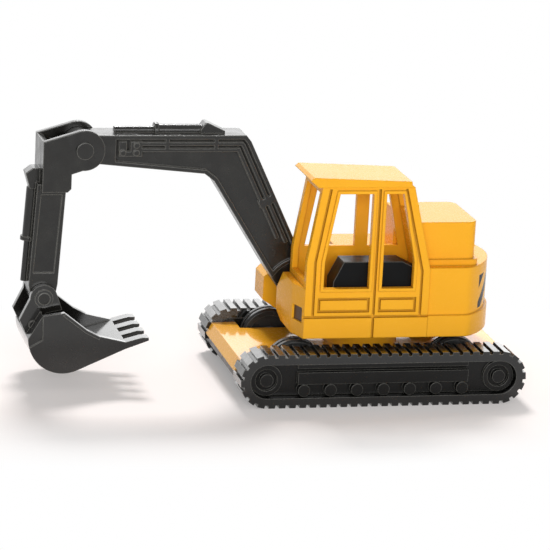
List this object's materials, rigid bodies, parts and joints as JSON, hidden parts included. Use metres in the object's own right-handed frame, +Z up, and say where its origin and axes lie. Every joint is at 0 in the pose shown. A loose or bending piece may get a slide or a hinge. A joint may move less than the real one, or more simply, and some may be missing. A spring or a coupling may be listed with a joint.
{
  "type": "toy crawler excavator",
  "caption": "Die-cast toy crawler excavator with a turning upper body, open cab, cranked boom, stick and toothed bucket on fixed track loops with hidden running wheels.",
  "frame": {"origin": "on the ground under the middle of the toy's overall length and width, arm as stored", "axes": "+X towards the bucket, +Y towards the cab side, +Z up"},
  "size_m": [0.0987, 0.041, 0.0521],
  "materials": {
    "yellow_paint": "glossy enamel",
    "arm_black": "satin moulded",
    "frame_black": "satin moulded",
    "track_black": "satin moulded",
    "wheel_black": "glossy moulded",
    "interior_black": "matte moulded",
    "lamp_brown": "satin",
    "bright_steel": "drawn wire"
  },
  "bodies": {
    "undercarriage": {"track_left": "track_black", "track_right": "track_black", "side_frame_left": "frame_black", "side_frame_right": "frame_black", "deck": "yellow_paint", "tray": "frame_black", "slew_rivet": "bright_steel"},
    "front_wheels": {"front_axle": "bright_steel", "front_wheel_left": "wheel_black", "front_wheel_right": "wheel_black"},
    "rear_wheels": {"rear_axle": "bright_steel", "rear_wheel_left": "wheel_black", "rear_wheel_right": "wheel_black"},
    "upper": {"floor_plate": "frame_black", "house": "yellow_paint", "cab": "yellow_paint", "roof": "yellow_paint", "cab_interior": "interior_black", "headlamp": "lamp_brown", "foot_pin": "arm_black"},
    "boom": {"boom": "arm_black"},
    "stick": {"stick": "arm_black", "head_pin": "arm_black"},
    "bucket": {"bucket": "arm_black", "bucket_pin": "arm_black"}
  },
  "joints": [
    {"name": "slew", "type": "hinge", "parent": "undercarriage", "child": "upper", "pos_m": [-0.02035, 0, 0.0123], "axis": [0, 0, 1], "continuous": true},
    {"name": "boom_lift", "type": "hinge", "parent": "upper", "child": "boom", "pos_m": [-0.00785, -0.003, 0.017], "axis": [0, -1, 0], "range_deg": [-15, 35]},
    {"name": "stick_swing", "type": "hinge", "parent": "boom", "child": "stick", "pos_m": [0.03755, -0.003, 0.0473], "axis": [0, -1, 0], "range_deg": [-35, 60]},
    {"name": "bucket_curl", "type": "hinge", "parent": "stick", "child": "bucket", "pos_m": [0.04465, -0.003, 0.0177], "axis": [0, -1, 0], "range_deg": [-15, 90]},
    {"name": "front_roll", "type": "hinge", "parent": "undercarriage", "child": "front_wheels", "pos_m": [-0.00405, 0, 0.0058], "axis": [0, 1, 0], "continuous": true},
    {"name": "rear_roll", "type": "hinge", "parent": "undercarriage", "child": "rear_wheels", "pos_m": [-0.03665, 0, 0.0058], "axis": [0, 1, 0], "continuous": true}
  ]
}
